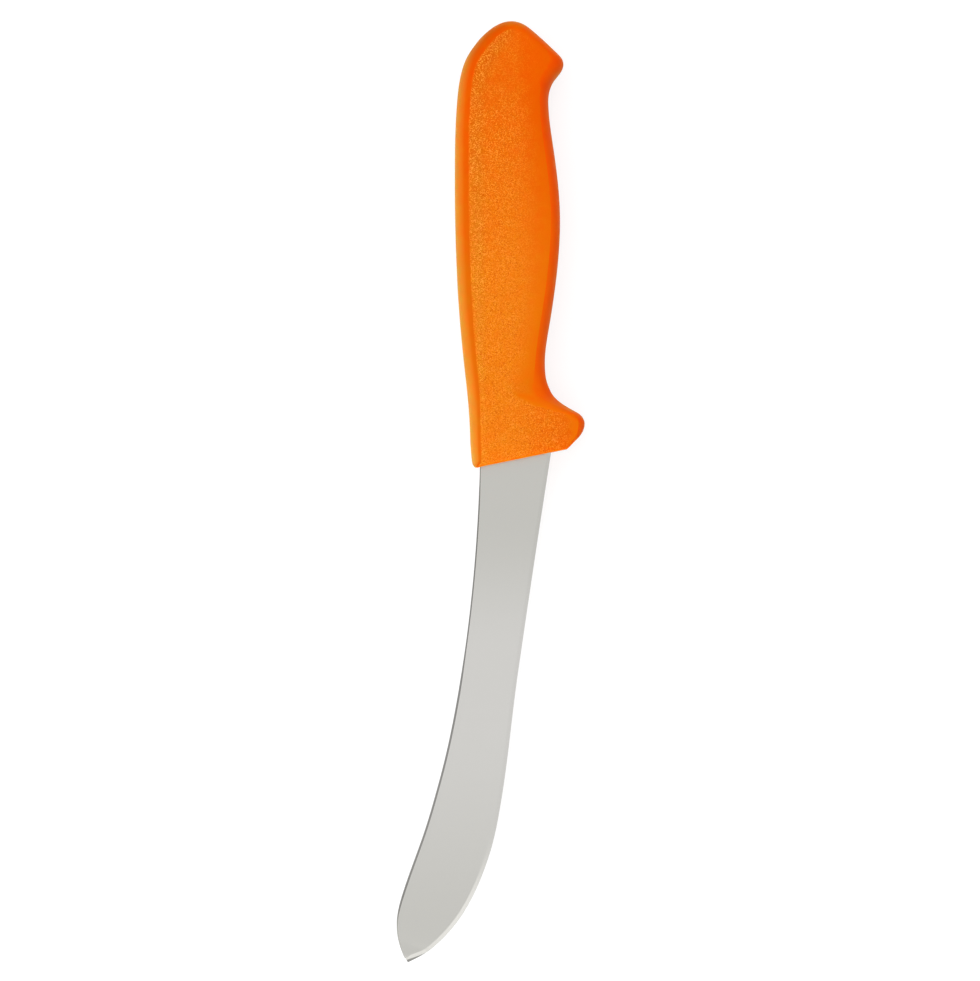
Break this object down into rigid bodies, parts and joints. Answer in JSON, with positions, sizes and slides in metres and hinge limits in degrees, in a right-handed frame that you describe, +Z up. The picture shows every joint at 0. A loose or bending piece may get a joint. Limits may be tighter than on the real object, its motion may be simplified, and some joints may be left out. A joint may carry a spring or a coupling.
{
  "type": "butcher knife",
  "caption": "Butcher knife: a slim blade that sweeps back to a broad point, held by a hidden tang in a moulded handle with a finger guard and a beaked butt.",
  "frame": {"origin": "under the middle of the whole knife, on the surface that the handle's flat side rests on", "axes": "+X across the knife towards the cutting edge, +Y along it from the tip to the butt, +Z up through its thickness; the blade's middle plane is half way up the handle"},
  "size_m": [0.0558, 0.2796, 0.02],
  "materials": {
    "blade_steel": "fine satin grind along the blade, with a finer ground cutting bevel",
    "handle_plastic": "orange moulded plastic, spark-grained on the two flat sides and smooth on the rounded walls"
  },
  "bodies": {
    "root": {"blade": "blade_steel", "handle": "handle_plastic"}
  },
  "joints": []
}
